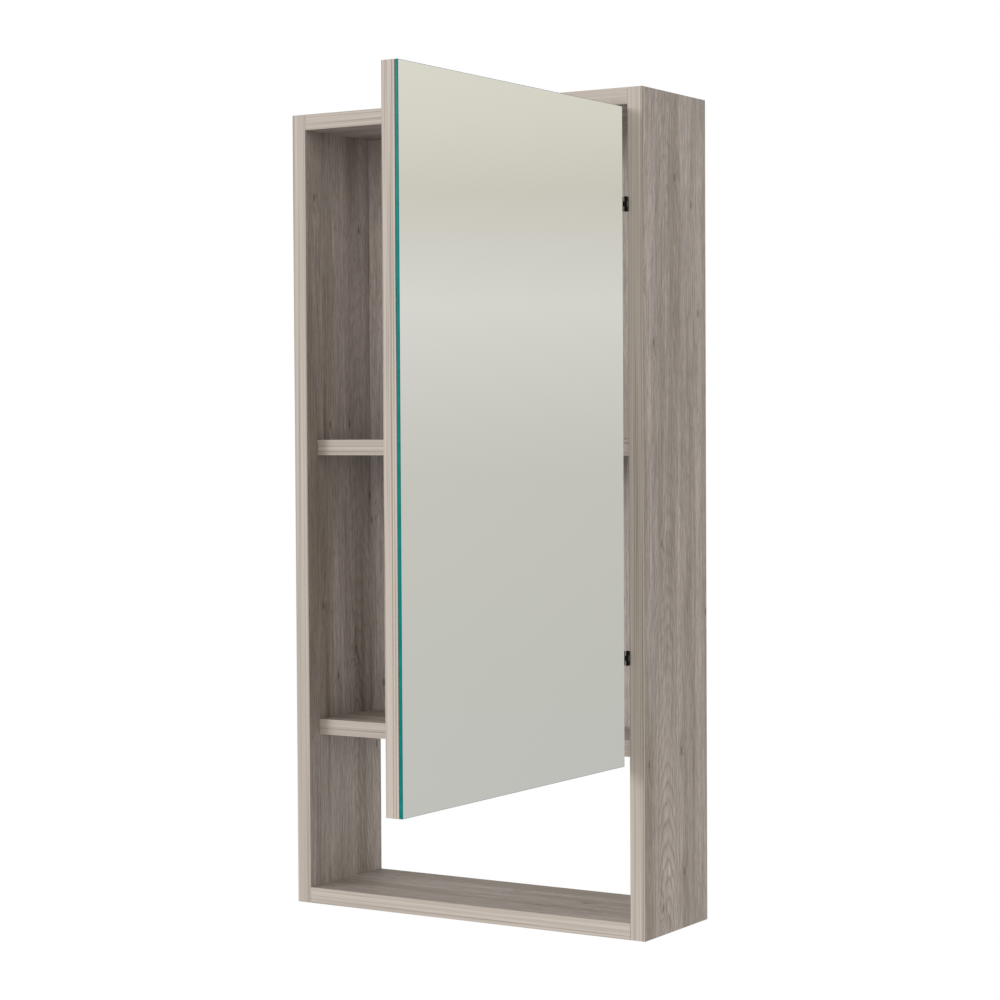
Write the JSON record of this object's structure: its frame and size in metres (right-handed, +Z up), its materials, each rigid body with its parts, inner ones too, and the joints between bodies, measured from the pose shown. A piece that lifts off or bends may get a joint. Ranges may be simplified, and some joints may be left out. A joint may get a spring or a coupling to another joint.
{
  "type": "medicine cabinet with mirror door",
  "caption": "Slim wall-hung medicine cabinet in grey wood grain, with a mirror door on barrel hinges, shelves inside and an open niche below.",
  "frame": {"origin": "centre of the back panel's rear face, which lies on the wall", "axes": "+Z up, +Y into the wall, +X to the right as seen from the front"},
  "size_m": [0.383, 0.4747, 0.76],
  "materials": {
    "wood_grain_laminate": "matt grey-brown wood-grain laminate on board",
    "edge_band": "matt pale greige wood-grain edge band",
    "beech_dowel": "bare beech",
    "mirror_glass": "silvered float glass with ground arrises and a green edge",
    "mounting_film": "thin double-sided mounting film",
    "black_steel": "satin black coated steel",
    "zinc_steel": "bright zinc-plated steel",
    "white_plastic": "moulded white plastic",
    "magnet": "nickel-plated magnet"
  },
  "bodies": {
    "case": {"side_panel_left": "wood_grain_laminate", "side_panel_right": "wood_grain_laminate", "top_panel": "wood_grain_laminate", "bottom_panel": "wood_grain_laminate", "lower_shelf": "wood_grain_laminate", "middle_shelf": "wood_grain_laminate", "back_panel": "wood_grain_laminate", "bottom_panel_edge_band": "edge_band", "catch_magnet": "magnet", "catch_sleeve": "white_plastic", "dowel_back_left_1": "beech_dowel", "dowel_back_left_2": "beech_dowel", "dowel_back_right_1": "beech_dowel", "dowel_back_right_2": "beech_dowel", "dowel_bottom_left_1": "beech_dowel", "dowel_bottom_left_2": "beech_dowel", "dowel_bottom_right_1": "beech_dowel", "dowel_bottom_right_2": "beech_dowel", "dowel_lower_shelf_left_1": "beech_dowel", "dowel_lower_shelf_left_2": "beech_dowel", "dowel_lower_shelf_right_1": "beech_dowel", "dowel_lower_shelf_right_2": "beech_dowel", "dowel_middle_shelf_left_1": "beech_dowel", "dowel_middle_shelf_left_2": "beech_dowel", "dowel_middle_shelf_right_1": "beech_dowel", "dowel_middle_shelf_right_2": "beech_dowel", "dowel_top_left_1": "beech_dowel", "dowel_top_left_2": "beech_dowel", "dowel_top_right_1": "beech_dowel", "dowel_top_right_2": "beech_dowel", "hanger_plate_left": "zinc_steel", "hanger_plate_right": "zinc_steel", "hanger_screw_left_lower": "zinc_steel", "hanger_screw_left_upper": "zinc_steel", "hanger_screw_right_lower": "zinc_steel", "hanger_screw_right_upper": "zinc_steel", "hinge_lower_frame_leaf": "black_steel", "hinge_lower_frame_screw_1": "black_steel", "hinge_lower_frame_screw_2": "black_steel", "hinge_lower_pin": "black_steel", "hinge_upper_frame_leaf": "black_steel", "hinge_upper_frame_screw_1": "black_steel", "hinge_upper_frame_screw_2": "black_steel", "hinge_upper_pin": "black_steel", "lower_shelf_edge_band": "edge_band", "middle_shelf_edge_band": "edge_band", "side_panel_left_edge_band": "edge_band", "side_panel_right_edge_band": "edge_band", "top_panel_edge_band": "edge_band"},
    "door": {"door_board": "wood_grain_laminate", "door_mirror": "mirror_glass", "hinge_lower_door_leaf": "black_steel", "hinge_lower_door_screw_1": "black_steel", "hinge_lower_door_screw_2": "black_steel", "hinge_upper_door_leaf": "black_steel", "hinge_upper_door_screw_1": "black_steel", "hinge_upper_door_screw_2": "black_steel", "mirror_mounting_film": "mounting_film", "strike_plate": "zinc_steel", "strike_screw": "zinc_steel"}
  },
  "joints": [
    {"name": "door_swing", "type": "hinge", "parent": "case", "child": "door", "pos_m": [0.1759, -0.1236, 0], "axis": [0, 0, 1], "range_deg": [-89.65, 90.35]}
  ]
}
